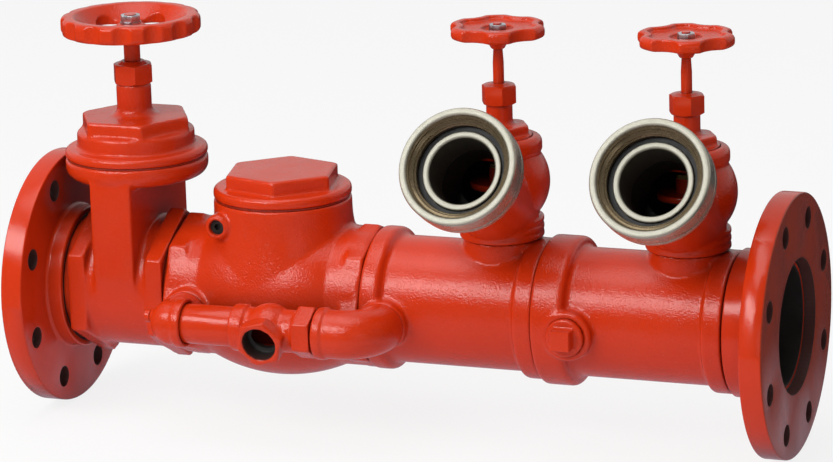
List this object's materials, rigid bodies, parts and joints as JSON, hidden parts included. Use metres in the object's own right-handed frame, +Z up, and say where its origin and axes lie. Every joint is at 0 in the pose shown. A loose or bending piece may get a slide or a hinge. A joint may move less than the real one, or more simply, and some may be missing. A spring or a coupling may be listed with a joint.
{
  "type": "fire department connection",
  "caption": "Flanged horizontal pipe run with a gate valve, a check valve with a bypass, and angled hose inlet valves with swivel couplings and handwheels, for pumping water into a building.",
  "frame": {"origin": "centre of the left flange's outer face", "axes": "+X along the run to the right flange, +Z up along the valve stems, -Y towards the hose inlets"},
  "size_m": [0.669, 0.24, 0.3515],
  "materials": {
    "red_paint": "gloss",
    "pipe_paint": "gloss",
    "nickel": "polished",
    "zinc": "satin",
    "steel": "satin",
    "brass": "satin",
    "rubber": "matte",
    "packing": "matte"
  },
  "bodies": {
    "run": {"left_flange": "red_paint", "left_nipple": "pipe_paint", "gate_body": "red_paint", "gate_bonnet": "red_paint", "gate_bonnet_gasket": "rubber", "gate_packing": "packing", "gate_gland": "brass", "gate_gland_nut": "red_paint", "centre_nipple": "pipe_paint", "check_body": "red_paint", "check_cap": "red_paint", "check_cap_gasket": "rubber", "hinge_pin": "steel", "hinge_plug": "brass", "bypass_left_elbow": "red_paint", "bypass_screw": "red_paint", "bypass_nipple": "red_paint", "bypass_tee": "red_paint", "bypass_right_elbow": "red_paint", "manifold_left": "red_paint", "manifold_right": "red_paint", "manifold_plug": "red_paint", "right_nipple": "pipe_paint", "right_flange": "red_paint", "hose_packings": "packing", "hose_glands": "brass", "hose_gland_nuts": "red_paint", "hose1_body": "red_paint", "hose1_bonnet": "red_paint", "hose1_tailpiece": "nickel", "hose1_swivel_wire": "steel", "hose2_body": "red_paint", "hose2_bonnet": "red_paint", "hose2_tailpiece": "nickel", "hose2_swivel_wire": "steel"},
    "gate_spindle": {"gate_stem": "red_paint", "gate_handwheel": "red_paint", "gate_wheel_washer": "zinc", "gate_wheel_nut": "zinc"},
    "gate_wedge": {"gate_wedge": "brass"},
    "clapper": {"clapper": "brass", "clapper_seal": "rubber", "clapper_arm": "brass", "clapper_nut": "brass"},
    "hose1_disc": {"hose1_disc": "brass", "hose1_disc_seal": "rubber", "hose1_disc_nut": "brass"},
    "hose1_spindle": {"hose1_stem": "red_paint", "hose1_handwheel": "red_paint", "hose1_wheel_nut": "zinc"},
    "hose1_coupling": {"hose1_swivel": "nickel", "hose1_swivel_gasket": "rubber"},
    "hose2_disc": {"hose2_disc": "brass", "hose2_disc_seal": "rubber", "hose2_disc_nut": "brass"},
    "hose2_spindle": {"hose2_stem": "red_paint", "hose2_handwheel": "red_paint", "hose2_wheel_nut": "zinc"},
    "hose2_coupling": {"hose2_swivel": "nickel", "hose2_swivel_gasket": "rubber"}
  },
  "joints": [
    {"name": "gate_turn", "type": "hinge", "parent": "run", "child": "gate_spindle", "pos_m": [0.0825, 0, 0], "axis": [0, 0, 1], "range_deg": [-5280, 0]},
    {"name": "gate_travel", "type": "slide", "parent": "run", "child": "gate_wedge", "axis": [0, 0, 1], "range_m": [-0.088, 0]},
    {"name": "clapper_swing", "type": "hinge", "parent": "run", "child": "clapper", "pos_m": [0.179, 0, 0.066], "axis": [0, -1, 0], "range_deg": [0, 60]},
    {"name": "hose1_lift", "type": "slide", "parent": "run", "child": "hose1_disc", "axis": [0, 0, 1], "range_m": [-0.016, 0.004]},
    {"name": "hose1_turn", "type": "hinge", "parent": "hose1_disc", "child": "hose1_spindle", "pos_m": [0.415, 0, 0], "axis": [0, 0, 1], "range_deg": [-1152, 288]},
    {"name": "hose1_swivel", "type": "hinge", "parent": "run", "child": "hose1_coupling", "pos_m": [0.415, 0, 0.084], "axis": [0, -0.866, 0.5], "continuous": true},
    {"name": "hose2_lift", "type": "slide", "parent": "run", "child": "hose2_disc", "axis": [0, 0, 1], "range_m": [-0.016, 0.004]},
    {"name": "hose2_turn", "type": "hinge", "parent": "hose2_disc", "child": "hose2_spindle", "pos_m": [0.577, 0, 0], "axis": [0, 0, 1], "range_deg": [-1152, 288]},
    {"name": "hose2_swivel", "type": "hinge", "parent": "run", "child": "hose2_coupling", "pos_m": [0.577, 0, 0.084], "axis": [0, -0.866, 0.5], "continuous": true}
  ],
  "couplings": [
    {"joint": "gate_travel", "follows": "gate_turn", "m_per_rad": 0.00095493},
    {"joint": "hose1_lift", "follows": "hose1_turn", "m_per_rad": 0.00079577},
    {"joint": "hose2_lift", "follows": "hose2_turn", "m_per_rad": 0.00079577}
  ]
}
